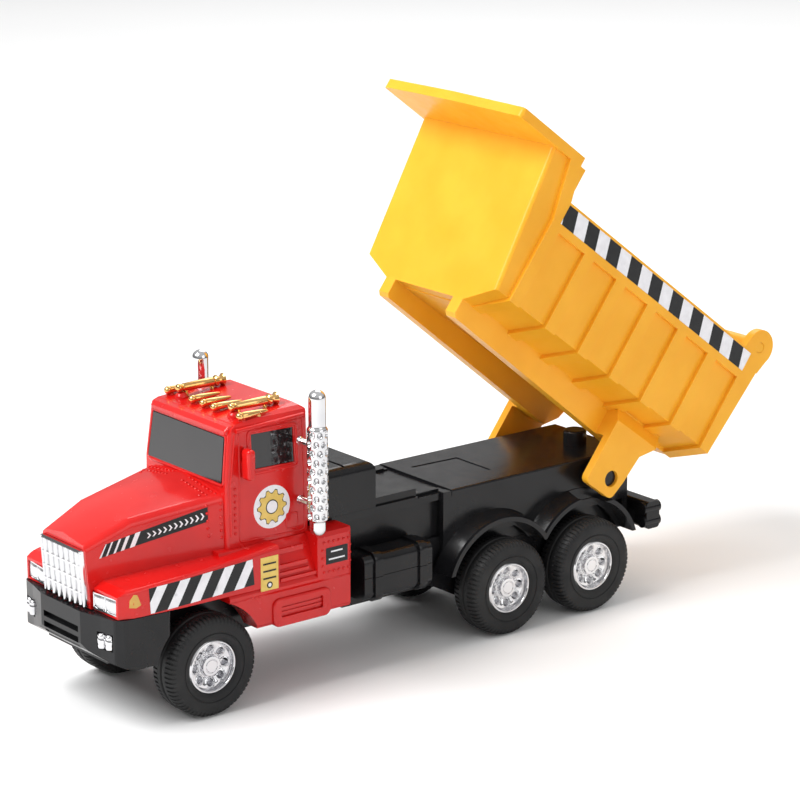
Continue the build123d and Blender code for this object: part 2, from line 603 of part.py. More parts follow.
def make_dump_bed():
    """Tipping body: ribbed tub, headboard with visor, runners, lugs and tailgate ears."""
    bed = tub() - bed_pockets()
    bed += sills_and_lugs() & block(-10, 53, -20, 20, -5, BED_FLOOR_W + 3.0)
    bed += headboard()
    bed += side_posts() + rear_ears()
    bed -= bed_cavity()
    bed -= block(-20.0, FLOOR_REAR_U, -SILL_OUT + 0.4, SILL_OUT - 0.4, 5.0, BED_FLOOR_W + BED_FLOOR_T + 0.1)
    bed += visor()
    bed -= both(rod_y(GATE_U, GATE_W, GATE_BORE_R, BED_HALF - BED_WALL - 1, BED_HALF + 1))
    return bed


def make_tailgate():
    """Top-hung gate with its hinge bar and the two stub pins, closed."""
    half = BED_HALF - BED_WALL - 0.35
    floor = BED_FLOOR_W + BED_FLOOR_T + 0.3
    section = symmetric([(SILL_OUT - 0.5, floor), (half, floor + 3.1), (half, GATE_W + 0.6)])
    lean = [(-15.1, floor), (-13.7, floor), (-14.9, GATE_W + 0.6), (-16.3, GATE_W + 0.6)]
    gate = prism_yz(section, -25, 0) & prism_xz(lean, -25, 25)
    gate += block(-15.1, -13.7, -SILL_OUT + 1.0, SILL_OUT - 1.0, BED_FLOOR_W + 0.2, floor + 1.0)
    for z in (20.0, 28.0):
        gate += block(-16.2, -14.6, -half + 2.0, half - 2.0, z - 0.6, z + 0.6)
    gate += rod_y(GATE_U, GATE_W, 1.7, -half, half)
    gate += rod_y(GATE_U, GATE_W, GATE_PIN_R, -BED_HALF + 0.1, BED_HALF - 0.1)
    return gate


def on_bed(shape):
    """Carry a shape from bed axes to the raised position on the chassis."""
    return Pos(PIVOT_X, 0, PIVOT_Z) * Rot(0, -TILT, 0) * shape


# ---------------------------------------------------------------- assembly
def make_parts():
    parts = {
        "cab_shell": make_cab_shell(),
        "window_glazing": make_glazing(),
        "grille_and_headlamps": make_grille(),
        "fog_lamps": make_fog_lamps(),
        "exhaust_stack_left": make_stack(),
        "exhaust_stack_right": right_hand(make_stack()),
        "roof_horns": make_roof_horns(),
        "roof_marker_lamps": make_roof_markers(),
        "chassis_deck": make_chassis_deck(),
        "chassis_base": make_chassis_base(),
        "deck_knob": make_deck_knob(),
        "base_screws": make_base_screws(),
        "dump_bed": on_bed(make_dump_bed()),
        "tailgate": on_bed(make_tailgate()),
    }
    for name, x in AXLE_X.items():
        parts[name + "_axle"] = make_axle(x)
        parts[name + "_left_tyre"] = make_tyre(x)
        parts[name + "_right_tyre"] = right_hand(make_tyre(x))
        parts[name + "_left_hub"] = make_hub(x)
        parts[name + "_right_hub"] = right_hand(make_hub(x))
    return parts


parts = make_parts()
box = Compound(children=[Compound(list(shape.solids())) for shape in parts.values()]).bounding_box()
shift = Pos(-(box.min.X + box.max.X) / 2, -(box.min.Y + box.max.Y) / 2, -box.min.Z)

os.makedirs("parts", exist_ok=True)
for name, shape in parts.items():
    solids = list((shift * shape).solids())
    export_step(solids[0] if len(solids) == 1 else Compound(solids), "parts/" + name + ".step")
print("shift", shift.position, "size", box.size)
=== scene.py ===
import bpy
import bmesh
import json
import math
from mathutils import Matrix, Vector
from mathutils.bvhtree import BVHTree


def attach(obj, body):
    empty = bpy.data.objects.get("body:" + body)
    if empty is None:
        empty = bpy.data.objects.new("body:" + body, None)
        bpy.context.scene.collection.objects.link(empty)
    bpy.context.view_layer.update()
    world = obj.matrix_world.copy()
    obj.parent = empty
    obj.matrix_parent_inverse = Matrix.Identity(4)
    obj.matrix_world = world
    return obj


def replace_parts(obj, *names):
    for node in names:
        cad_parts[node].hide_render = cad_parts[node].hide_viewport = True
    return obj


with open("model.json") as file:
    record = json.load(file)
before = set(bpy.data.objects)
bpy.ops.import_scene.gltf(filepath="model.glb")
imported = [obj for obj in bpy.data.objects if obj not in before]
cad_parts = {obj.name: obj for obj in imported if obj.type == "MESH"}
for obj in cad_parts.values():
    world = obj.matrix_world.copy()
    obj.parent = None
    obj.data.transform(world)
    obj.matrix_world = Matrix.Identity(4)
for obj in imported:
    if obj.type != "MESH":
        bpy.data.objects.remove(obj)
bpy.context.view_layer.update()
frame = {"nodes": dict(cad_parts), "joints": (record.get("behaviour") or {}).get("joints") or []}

# Lengths below are in millimetres and are turned into metres by at() and bed_at().
# Truck axes: x forward from the front axle, y to the truck's left, z up from the ground.
# Bed axes: u forward, v left, w square to the bed floor, measured from the tipping pivot.
MM = 0.001
JOINTS = {joint["name"]: Vector(joint["pos_m"]) for joint in frame["joints"]}
FRONT = JOINTS["front_wheels_roll"]
PIVOT = JOINTS["bed_tip"]
TILT = math.radians(36.9)
SIDES = (1, -1)
TAU = 2 * math.pi


def at(x, y, z):
    """Point on the truck."""
    return Vector((FRONT.x + x * MM, y * MM, z * MM))


def bed_at(u, v, w):
    """Point on the raised bed."""
    x = u * math.cos(TILT) - w * math.sin(TILT)
    z = u * math.sin(TILT) + w * math.cos(TILT)
    return Vector((PIVOT.x + x * MM, v * MM, PIVOT.z + z * MM))


# ---------------------------------------------------------------- materials
def new_material(name, **sockets):
    """A material with one Principled shader whose plain values are set on its own sockets."""
    material = bpy.data.materials.new(name)
    material.use_nodes = True
    shader = material.node_tree.nodes["Principled BSDF"]
    for label, value in sockets.items():
        shader.inputs[label.replace("_", " ")].default_value = value
    return material, shader


def noise(material, scale, detail=3.0, stretch=(1, 1, 1)):
    """Noise through the piece's own volume; scale is in bumps per metre."""
    nodes, links = material.node_tree.nodes, material.node_tree.links
    place = nodes.new("ShaderNodeTexCoord")
    mapping = nodes.new("ShaderNodeMapping")
    mapping.inputs["Scale"].default_value = stretch
    texture = nodes.new("ShaderNodeTexNoise")
    texture.inputs["Scale"].default_value = scale
    texture.inputs["Detail"].default_value = detail
    links.new(place.outputs["Object"], mapping.inputs["Vector"])
    links.new(mapping.outputs["Vector"], texture.inputs["Vector"])
    return texture.outputs["Fac"]


def spread(material, source, low, high, start=0.3, end=0.7):
    """Map a noise value between two numbers."""
    nodes, links = material.node_tree.nodes, material.node_tree.links
    remap = nodes.new("ShaderNodeMapRange")
    remap.inputs["From Min"].default_value = start
    remap.inputs["From Max"].default_value = end
    remap.inputs["To Min"].default_value = low
    remap.inputs["To Max"].default_value = high
    links.new(source, remap.inputs["Value"])
    return remap.outputs["Result"]


def blend_colours(material, source, low, high, start=0.35, end=0.65):
    """Fade between two colours by a noise value."""
    nodes, links = material.node_tree.nodes, material.node_tree.links
    ramp = nodes.new("ShaderNodeValToRGB")
    ramp.color_ramp.elements[0].position = start
    ramp.color_ramp.elements[0].color = (*low, 1)
    ramp.color_ramp.elements[1].position = end
    ramp.color_ramp.elements[1].color = (*high, 1)
    links.new(source, ramp.inputs["Fac"])
    return ramp.outputs["Color"]


def ripple(material, shader, source, height, strength=1.0):
    """Fine surface unevenness of the given height in metres."""
    nodes, links = material.node_tree.nodes, material.node_tree.links
    bump = nodes.new("ShaderNodeBump")
    bump.inputs["Strength"].default_value = strength
    bump.inputs["Distance"].default_value = height
    links.new(source, bump.inputs["Height"])
    links.new(bump.outputs["Normal"], shader.inputs["Normal"])


def dress(material, shader, colours, roughness, grain, height, fine=1400.0, coarse=90.0):
    """Colour drifts on a coarse noise, gloss on a finer one, and a grain ripples the surface."""
    links = material.node_tree.links
    drift = noise(material, coarse, 4.0)
    links.new(blend_colours(material, drift, *colours), shader.inputs["Base Color"])
    wear = noise(material, fine * 0.3, 5.0)
    links.new(spread(material, wear, *roughness), shader.inputs["Roughness"])
    ripple(material, shader, noise(material, grain, 2.0), height)
    return material


def red_enamel():
    material, shader = new_material("red_enamel", Coat_Weight=0.3, Coat_Roughness=0.08,
                                    Specular_IOR_Level=0.32)
    return dress(material, shader, ((0.56, 0.005, 0.005), (0.66, 0.009, 0.007)), (0.18, 0.28),
                 300.0, 0.000005)


def smoked_window():
    material, shader = new_material("smoked_window", Coat_Weight=0.3, Coat_Roughness=0.04,
                                    Specular_IOR_Level=0.5)
    return dress(material, shader, ((0.006, 0.005, 0.006), (0.011, 0.010, 0.011)), (0.06, 0.14),
                 180.0, 0.00001)


def bright_plating():
    material, shader = new_material("bright_plating", Metallic=1.0)
    return dress(material, shader, ((0.66, 0.66, 0.68), (0.76, 0.76, 0.77)), (0.05, 0.12),
                 300.0, 0.000008)


def gold_plating():
    material, shader = new_material("gold_plating", Metallic=1.0)
    return dress(material, shader, ((0.76, 0.42, 0.14), (0.88, 0.54, 0.22)), (0.08, 0.18),
                 400.0, 0.00001)


def black_plastic():
    material, shader = new_material("black_plastic", Specular_IOR_Level=0.3)
    return dress(material, shader, ((0.006, 0.006, 0.007), (0.011, 0.011, 0.012)), (0.17, 0.27),
                 260.0, 0.000004)


def yellow_plastic():
    material, shader = new_material("yellow_plastic", Specular_IOR_Level=0.3,
                                    Subsurface_Weight=0.12, Subsurface_Scale=0.0012)
    shader.inputs["Subsurface Radius"].default_value = (1.0, 0.5, 0.1)
    return dress(material, shader, ((0.90, 0.41, 0.018), (0.96, 0.46, 0.028)), (0.32, 0.44),
                 380.0, 0.00001)


def tyre_rubber():
    material, shader = new_material("tyre_rubber", Specular_IOR_Level=0.3)
    return dress(material, shader, ((0.012, 0.012, 0.013), (0.022, 0.022, 0.022)), (0.50, 0.68),
                 1800.0, 0.000012)


def screw_steel():
    material, shader = new_material("screw_steel", Metallic=1.0)
    return dress(material, shader, ((0.42, 0.41, 0.40), (0.56, 0.55, 0.53)), (0.26, 0.42),
                 1800.0, 0.00001)


def print_ink(name, low, high):
    """Ink of a printed marking: nearly even colour with a slight screen-print mottle."""
    material, shader = new_material(name, Coat_Weight=0.1, Coat_Roughness=0.2,
                                    Specular_IOR_Level=0.3)
    return dress(material, shader, (low, high), (0.26, 0.40), 1500.0, 0.000006, coarse=700.0)


def pale_floor():
    material, shader = new_material("pale_floor", Specular_IOR_Level=0.1)
    return dress(material, shader, ((0.88, 0.88, 0.88), (0.91, 0.91, 0.91)), (0.75, 0.85),
                 60.0, 0.0001, coarse=3.0)


RED = red_enamel()
SMOKED = smoked_window()
CHROME = bright_plating()
GOLD = gold_plating()
BLACK = black_plastic()
YELLOW = yellow_plastic()
RUBBER = tyre_rubber()
STEEL = screw_steel()
INK_BLACK = print_ink("ink_black", (0.005, 0.005, 0.006), (0.009, 0.009, 0.010))
INK_WHITE = print_ink("ink_white", (0.80, 0.79, 0.82), (0.88, 0.87, 0.90))
INK_YELLOW = print_ink("ink_yellow", (0.72, 0.50, 0.11), (0.80, 0.57, 0.15))
INK_AMBER = print_ink("ink_amber", (0.62, 0.36, 0.08), (0.72, 0.44, 0.11))


# ---------------------------------------------------------------- mesh helpers
class Shape:
    """Collects the points and faces of one piece; paint is the material index of each face."""

    def __init__(self):
        self.points = []
        self.faces = []
        self.paint = []

    def add(self, points, faces, paint=0):
        start = len(self.points)
        self.points += points
        self.faces += [[start + index for index in face] for face in faces]
        self.paint += [paint] * len(faces)

    def sheet(self, rows, loop=True, paint=0):
        """Join neighbouring rows of points; loop joins each row's end to its start."""
        across = len(rows[0])
        faces = []
        for row in range(len(rows) - 1):
            for col in range(across if loop else across - 1):
                after = (col + 1) % across
                faces.append([row * across + col, row * across + after,
                              (row + 1) * across + after, (row + 1) * across + col])
        self.add([point for row in rows for point in row], faces, paint)

    def lathe(self, origin, axis, profile, steps=32, paint=0):
        """Round body about an axis; the profile lists (distance along it, radius) in mm."""
        along = Vector(axis).normalized()
        one = along.orthogonal().normalized()
        two = along.cross(one)
        rows = []
        for distance, radius in profile:
            centre = origin + along * distance * MM
            ring = []
            for step in range(steps):
                turn = TAU * step / steps
                ring.append(centre + (one * math.cos(turn) + two * math.sin(turn)) * radius * MM)
            rows.append(ring)
        self.sheet(rows, paint=paint)

    def slab(self, outline, depth, paint=0):
        """Closed slab under a flat outline; depth is the vector from its top to its underside."""
        count = len(outline)
        faces = [list(range(count)), list(range(2 * count - 1, count - 1, -1))]
        for index in range(count):
            after = (index + 1) % count
            faces.append([index, count + index, count + after, after])
        self.add(outline + [point + depth for point in outline], faces, paint)


def finish_piece(name, shape, body, materials, sharp=38.0):
    """Turn a Shape into a smooth-shaded piece that rides on a body."""
    mesh = bpy.data.meshes.new(name)
    mesh.from_pydata([tuple(point) for point in shape.points], [], shape.faces)
    mesh.polygons.foreach_set("material_index", shape.paint)
    work = bmesh.new()
    work.from_mesh(mesh)
    bmesh.ops.remove_doubles(work, verts=work.verts, dist=0.0001 * MM)
    bmesh.ops.recalc_face_normals(work, faces=work.faces)
    work.to_mesh(mesh)
    work.free()
    for material in materials:
        mesh.materials.append(material)
    mesh.polygons.foreach_set("use_smooth", [True] * len(mesh.polygons))
    mesh.set_sharp_from_angle(angle=math.radians(sharp))
    piece = bpy.data.objects.new(name, mesh)
    bpy.context.scene.collection.objects.link(piece)
    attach(piece, body)
    return piece


def smooth(value, low, high):
    """Ease from 0 at low to 1 at high."""
    share = min(1.0, max(0.0, (value - low) / (high - low)))
    return share * share * (3 - 2 * share)


# ---------------------------------------------------------------- CAD nodes
def soften(name, material, width):
    """Give a CAD node its material and round its edges by a small width in mm."""
    node = frame["nodes"][name]
    node.data.materials.clear()
    node.data.materials.append(material)
    weld = node.modifiers.new("weld", "WELD")
    weld.merge_threshold = 0.001 * MM
    merge = node.modifiers.new("merge", "DECIMATE")
    merge.decimate_type = "DISSOLVE"
    merge.angle_limit = math.radians(0.5)
    bevel = node.modifiers.new("bevel", "BEVEL")
    bevel.width = width * MM
    bevel.segments = 2
    bevel.limit_method = "ANGLE"
    bevel.angle_limit = math.radians(28)
    bevel.miter_outer = "MITER_ARC"
    shade = node.modifiers.new("shade", "WEIGHTED_NORMAL")
    shade.keep_sharp = True
    shade.weight = 100


CAD_FINISH = {
    "cab_shell": (RED, 0.28),
    "window_glazing": (SMOKED, 0.12),
    "chassis_deck": (BLACK, 0.22),
    "chassis_base": (BLACK, 0.25),
    "deck_knob": (BLACK, 0.0),
    "base_screws": (STEEL, 0.05),
    "front_axle": (STEEL, 0.0),
    "middle_axle": (STEEL, 0.0),
    "rear_axle": (STEEL, 0.0),
    "dump_bed": (YELLOW, 0.25),
    "tailgate": (YELLOW, 0.2),
}
for node_name, (finish, rounding) in CAD_FINISH.items():
    if rounding:
        soften(node_name, finish, rounding)
    else:
        frame["nodes"][node_name].data.materials.clear()
        frame["nodes"][node_name].data.materials.append(finish)
bpy.context.view_layer.update()
GRAPH = bpy.context.evaluated_depsgraph_get()
CAB = BVHTree.FromObject(frame["nodes"]["cab_shell"], GRAPH)
BED = BVHTree.FromObject(frame["nodes"]["dump_bed"], GRAPH)


def cab_side(x, z):
    """Point and normal on the cab's left flank."""
    point, normal, _, _ = CAB.ray_cast(at(x, 30, z), Vector((0, -1, 0)))
    return point, normal


def cab_front(y, z):
    """Point and normal on the front of the cab."""
    point, normal, _, _ = CAB.ray_cast(at(30, y, z), Vector((-1, 0, 0)))
    return point, normal


def cab_top(x, y):
    """Point and normal on the cab or bonnet seen from above."""
    point, normal, _, _ = CAB.ray_cast(at(x, y, 80), Vector((0, 0, -1)))
    return point, normal


def bed_side(u, w):
    """Point and normal on the bed's left side."""
    point, normal, _, _ = BED.ray_cast(bed_at(u, 30, w), Vector((0, -1, 0)))
    return point, normal


def flip(spot):
    """The same spot on the right-hand side."""
    point, normal = spot
    return Vector((point.x, -point.y, point.z)), Vector((normal.x, -normal.y, normal.z))


# ---------------------------------------------------------------- wheels
TYRE_IN = 10.7
TYRE_OUT = 17.3
LUGS = 64
LUG_STEPS = ((0.0, 0), (0.55, 0), (0.66, 1), (0.90, 1))


def tyre_section():
    """Half of the tyre's section from the tread's middle outwards.

    Each entry is (distance in from the outer face, radius, depth cut from the radius in a
    groove, depth cut from the face in a groove)."""
    return [(3.3, 8.95, 0.0, 0.0), (3.1, 9.0, 0.0, 0.0), (2.95, 9.28, 0.0, 0.0),
            (2.2, 9.3, 0.0, 0.0), (1.95, 9.28, 0.24, 0.0), (0.95, 9.2, 0.26, 0.0),
            (0.5, 9.0, 0.24, 0.04), (0.22, 8.75, 0.10, 0.11), (0.10, 8.4, 0.0, 0.12),
            (0.06, 8.2, 0.0, 0.03), (0.04, 8.1, 0.0, 0.0), (0.02, 7.7, 0.0, 0.0),
            (0.0, 7.2, 0.0, 0.0), (0.0, 6.75, 0.0, 0.0), (0.02, 6.55, 0.0, 0.0),
            (0.14, 6.47, 0.0, 0.0), (0.14, 6.3, 0.0, 0.0), (0.0, 6.22, 0.0, 0.0),
            (0.05, 5.8, 0.0, 0.0), (0.25, 5.4, 0.0, 0.0), (0.6, 5.0, 0.0, 0.0)]


def make_tyre(name, centre, side, body):
    """Tyre with cut lugs across each shoulder, a middle groove and one sidewall ring."""
    half = tyre_section()
    width = TYRE_OUT - TYRE_IN
    section = [(depth, radius, cut, face, 1) for depth, radius, cut, face in reversed(half)]
    section += [(depth, radius, cut, face, -1) for depth, radius, cut, face in half[1:]]
    shape = Shape()
    rows = []
    for depth, radius, cut, face, outer in section:
        ring = []
        for lug in range(LUGS):
            for share, groove in LUG_STEPS:
                turn = TAU * (lug + share) / LUGS
                r = radius - cut * groove
                inset = depth + face * groove
                y = TYRE_OUT - inset if outer > 0 else TYRE_OUT - width + inset
                ring.append(centre + Vector((r * math.cos(turn), side * y, r * math.sin(turn))) * MM)
        rows.append(ring)
    rows.append(rows[0])
    shape.sheet(rows)
    piece = finish_piece(name, shape, body, [RUBBER], sharp=32)
    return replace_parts(piece, name.replace("_tread", "_tyre"))


HUB_OUT = 16.9
HUB_R = 5.0


def hub_height(r, turn):
    """Depth of the hub's face below the lip at a radius and angle."""
    lip = -1.0 * (1 - smooth(r, 4.15, 4.55))
    dish = -0.5 * (1 - smooth(r, 2.2, 4.1))
    cap = 0.95 * (1 - smooth(r, 1.75, 2.05)) - 0.18 * (1 - smooth(abs(r - 1.2), 0.0, 0.16))
    height = lip + dish + cap - 0.25 * smooth(r, 4.75, 5.0)
    nearest = round(turn / (TAU / 8)) * TAU / 8
    across = (turn - nearest) * r
    reach = math.hypot(across / 0.72, (r - 3.2) / 0.72)
    height -= 1.3 * (1 - smooth(reach, 0.62, 0.98))
    height += 0.16 * smooth(reach, 0.9, 1.1) * (1 - smooth(reach, 1.1, 1.45))
    between = (round(turn / (TAU / 8) - 0.5) + 0.5) * TAU / 8
    nut = math.hypot((turn - between) * r, r - 2.45)
    height += 0.28 * (1 - smooth(nut, 0.16, 0.30))
    return height


def make_hub(name, centre, side, body):
    """Plated wheel centre: lip, dish, eight hand holes, eight nuts and a ringed cap."""
    shape = Shape()
    radii = [0.0, 0.5, 0.95, 1.05, 1.15, 1.25, 1.35, 1.45, 1.6]
    radii += [1.7 + 0.075 * step for step in range(40)]
    radii += [4.75, 4.85, 4.95, 5.0]
    rows = []
    steps = 160
    for r in radii:
        ring = []
        for step in range(steps):
            turn = TAU * step / steps
            y = side * (HUB_OUT + hub_height(r, turn))
            ring.append(centre + Vector((r * math.cos(turn), y, r * math.sin(turn))) * MM)
        rows.append(ring)
    for r, y in ((HUB_R, 12.1), (4.4, 12.1), (4.2, 14.4), (0.8, 14.4), (0.8, 12.1), (0.0, 12.1)):
        ring = []
        for step in range(steps):
            turn = TAU * step / steps
            ring.append(centre + Vector((r * math.cos(turn), side * y, r * math.sin(turn))) * MM)
        rows.append(ring)
    shape.sheet(rows)
    piece = finish_piece(name, shape, body, [CHROME], sharp=50)
    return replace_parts(piece, name.replace("_wheel_centre", "_hub"))


for axle in ("front", "middle", "rear"):
    middle = JOINTS[axle + "_wheels_roll"]
    for label, hand in (("left", 1), ("right", -1)):
        make_tyre(f"{axle}_{label}_tread", middle, hand, axle + "_wheelset")
        make_hub(f"{axle}_{label}_wheel_centre", middle, hand, axle + "_wheelset")


# ---------------------------------------------------------------- exhaust stacks
STACK_X = -22.5
STACK_Y = 18.0
SHIELD_LOW = 32.6
SHIELD_HIGH = 49.4
HOLE_ROWS = 10
HOLES_ROUND = 8


def stack_radius(z, turn):
    """Radius of the stack at a height, with the shield's pressed holes."""
    radius = 1.48 + 0.44 * smooth(z, 32.2, 32.7) - 0.32 * smooth(z, 49.3, 50.0)
    radius -= 1.6 * (1 - math.sqrt(max(0.0, 1 - max(0.0, (z - 55.0) / 1.6) ** 2)))
    radius -= 1.48 * (1 - math.sqrt(max(0.0, 1 - max(0.0, (30.9 - z) / 1.5) ** 2)))
    pitch = (SHIELD_HIGH - SHIELD_LOW) / HOLE_ROWS
    row = round((z - SHIELD_LOW) / pitch - 0.5)
    if 0 <= row < HOLE_ROWS:
        centre_z = SHIELD_LOW + (row + 0.5) * pitch
        stagger = 0.5 * (row % 2)
        step = TAU / HOLES_ROUND
        nearest = (round(turn / step - stagger) + stagger) * step
        across = (turn - nearest) * radius
        reach = math.hypot(across / 0.56, (z - centre_z) / 0.60)
        radius -= 0.55 * (1 - smooth(reach, 0.62, 1.0))
    return radius


def make_stack_piece(name, side):
    """Plated stack: rounded foot, perforated heat shield, domed pipe and two arms to the cab."""
    shape = Shape()
    low, high = 29.4, 56.6
    rows = []
    layers, steps = 190, 108
    for layer in range(layers + 1):
        z = low + (high - low) * layer / layers
        ring = []
        for step in range(steps):
            turn = TAU * step / steps
            r = max(0.0, stack_radius(z, turn))
            ring.append(at(STACK_X + r * math.cos(turn), side * STACK_Y + r * math.sin(turn), z))
        rows.append(ring)
    rows.insert(0, [at(STACK_X, side * STACK_Y, low)] * steps)
    rows.append([at(STACK_X, side * STACK_Y, high)] * steps)
    shape.sheet(rows)
    arm = [(0.0, 0.0), (0.0, 0.85), (0.2, 0.8), (0.35, 0.6), (4.6, 0.6), (4.6, 0.0)]
    for z in (35.0, 46.0):
        shape.lathe(at(STACK_X, side * 12.72, z), (0, side, 0), arm, 20)
    piece = finish_piece(name, shape, "truck", [CHROME], sharp=60)
    return piece


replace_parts(make_stack_piece("stack_pipe_left", 1), "exhaust_stack_left")
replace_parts(make_stack_piece("stack_pipe_right", -1), "exhaust_stack_right")


# ---------------------------------------------------------------- roof trim
HORN_Y = 8.2
MARKER_Y = (-11.2, -3.4, 0.0, 3.4, 11.2)


def make_horns():
    """Two trumpet horns with a ringed mouth, a flared bell and two feet each."""
    shape = Shape()
    profile = [(0.0, 0.0), (0.04, 0.45), (0.2, 0.68), (0.5, 0.78), (0.9, 0.72), (1.1, 0.6),
               (1.3, 0.6), (1.45, 0.72), (6.4, 0.82), (7.9, 0.84), (8.0, 0.66), (8.3, 0.6),
               (8.5, 0.95), (8.8, 1.08), (9.0, 0.95), (9.15, 0.66), (9.7, 0.72), (10.1, 1.05),
               (10.3, 1.2), (10.36, 1.1), (10.3, 0.8), (10.1, 0.5), (10.05, 0.0)]
    for side in SIDES:
        shape.lathe(at(-10.3, side * HORN_Y, 53.25), (-1, 0, 0), profile, 36)
        for x in (-12.4, -18.2):
            profile_foot = [(0.0, 0.0), (0.0, 0.62), (0.5, 0.42), (1.4, 0.36), (1.5, 0.0)]
            shape.lathe(at(x, side * HORN_Y, 51.6), (0, 0, 1), profile_foot, 16)
    piece = finish_piece("trumpet_horns", shape, "truck", [GOLD])
    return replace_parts(piece, "roof_horns")


def make_markers():
    """Five bullet marker lamps with a lens bead at the front and a tapering tail."""
    shape = Shape()
    profile = [(0.0, 0.0), (0.06, 0.32), (0.25, 0.58), (0.6, 0.74), (1.0, 0.72), (1.15, 0.6),
               (1.3, 0.66), (2.6, 0.64), (4.6, 0.5), (6.2, 0.34), (6.7, 0.2), (6.75, 0.0)]
    foot = [(0.0, 0.0), (0.0, 0.5), (0.9, 0.4), (1.0, 0.0)]
    for y in MARKER_Y:
        shape.lathe(at(-9.8, y, 52.25), (-1, 0, 0.02), profile, 28)
        for x in (-11.2, -14.6):
            shape.lathe(at(x, y, 51.1), (0, 0, 1), foot, 12)
    piece = finish_piece("marker_bullets", shape, "truck", [GOLD])
    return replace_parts(piece, "roof_marker_lamps")


def make_horn_seats():
    """Red bosses cast on the roof in front of the horns and under the marker lamps."""
    shape = Shape()
    dome = [(-0.6, 1.25), (0.2, 1.22), (0.7, 0.98), (1.0, 0.6), (1.1, 0.25), (1.12, 0.0)]
    small = [(-0.6, 0.75), (0.1, 0.72), (0.35, 0.5), (0.45, 0.0)]
    for side in SIDES:
        point, _ = cab_top(-11.4, side * HORN_Y)
        shape.lathe(point, (0.1, 0, 1), [(-0.6, 0.0)] + dome, 28)
    for y in MARKER_Y:
        point, normal = cab_top(-11.0, y)
        shape.lathe(point, normal, [(-0.6, 0.0)] + small, 20)
    return finish_piece("roof_bosses", shape, "truck", [RED])


make_horns()
make_markers()
make_horn_seats()


# ---------------------------------------------------------------- rivets and beads on the cab
def rivet(shape, spot, radius=0.34, height=0.26):
    """Domed rivet head standing on a surface spot."""
    point, normal = spot
    profile = [(-0.25, 0.0), (-0.25, radius), (0.02, radius)]
    for step in range(1, 5):
        angle = step * math.pi / 8
        profile.append((0.02 + height * math.sin(angle), radius * math.cos(angle)))
    shape.lathe(point, normal, profile, 14)


def evenly(start, end, count):
    """Points spaced evenly between two ends, both included."""
    spots = []
    for step in range(count):
        share = step / (count - 1)
        spots.append(tuple(a + (b - a) * share for a, b in zip(start, end)))
    return spots


def make_rivets():
    """Rivet lines: two columns on the cowl, one on the door post, two rows under the
    windscreen and a border round the locker's plate, the same on both sides."""
    shape = Shape()
    columns = [((-2.9, 38.6), (-3.3, 31.6), 6), ((-5.7, 37.2), (-5.7, 31.0), 6),
               ((-8.1, 39.6), (-8.1, 31.4), 8)]
    border = [((-24.9, 27.2), (-30.4, 27.2), 6), ((-24.9, 21.6), (-30.4, 21.6), 6),
              ((-24.6, 25.8), (-24.6, 22.8), 3), ((-30.8, 25.8), (-30.8, 22.8), 3)]
    for start, end, count in columns + border:
        for x, z in evenly(start, end, count):
            rivet(shape, cab_side(x, z), 0.3, 0.24)
            rivet(shape, flip(cab_side(x, z)), 0.3, 0.24)
    for x, low, high in ((-5.4, 2.6, 10.4), (-3.9, 2.6, 9.8)):
        for _, y in evenly((x, low), (x, high), 8):
            rivet(shape, cab_top(x, y), 0.28, 0.22)
            rivet(shape, flip(cab_top(x, y)), 0.28, 0.22)
    return finish_piece("cab_rivets", shape, "truck", [RED])


def rounded(corners, radius, steps=5):
    """Closed outline with each corner replaced by an arc-like curve."""
    result = []
    count = len(corners)
    for index, corner in enumerate(corners):
        here = Vector(corner)
        before = (Vector(corners[index - 1]) - here).normalized() * radius
        after = (Vector(corners[(index + 1) % count]) - here).normalized() * radius
        for step in range(steps + 1):
            t = step / steps
            point = (here + before) * (1 - t) ** 2 + here * 2 * t * (1 - t) + (here + after) * t ** 2
            result.append(tuple(point))
    return result


def along_line(points, spacing, closed):
    """Resample a polyline at about the given spacing."""
    result = []
    ends = points[1:] + points[:1] if closed else points[1:]
    for start, end in zip(points, ends):
        length = math.dist(start, end)
        pieces = max(1, round(length / spacing))
        for step in range(pieces):
            share = step / pieces
            result.append(tuple(a + (b - a) * share for a, b in zip(start, end)))
    if not closed:
        result.append(tuple(points[-1]))
    return result


def bead(shape, spots, radius, closed, flatten=0.7, paint=0):
    """Half-round raised line along surface spots, sunk a little into the surface."""
    rows = []
    count = len(spots)
    for index, (point, normal) in enumerate(spots):
        ahead = spots[(index + 1) % count][0] if closed or index < count - 1 else point
        behind = spots[index - 1][0] if closed or index > 0 else point
        forward = (ahead - behind).normalized()
        across = forward.cross(normal).normalized()
        ring = []
        for step in range(10):
            turn = TAU * step / 10
            offset = across * math.cos(turn) + normal * math.sin(turn) * flatten
            ring.append(point + offset * radius * MM)
        rows.append(ring)
    if closed:
        rows.append(rows[0])
    else:
        rows.insert(0, [spots[0][0]] * 10)
        rows.append([spots[-1][0]] * 10)
    shape.sheet(rows, paint=paint)


def drape_line(points, surface, closed=True, spacing=0.7):
    """Surface spots along a polyline."""
    return [surface(*point) for point in along_line(points, spacing, closed)]


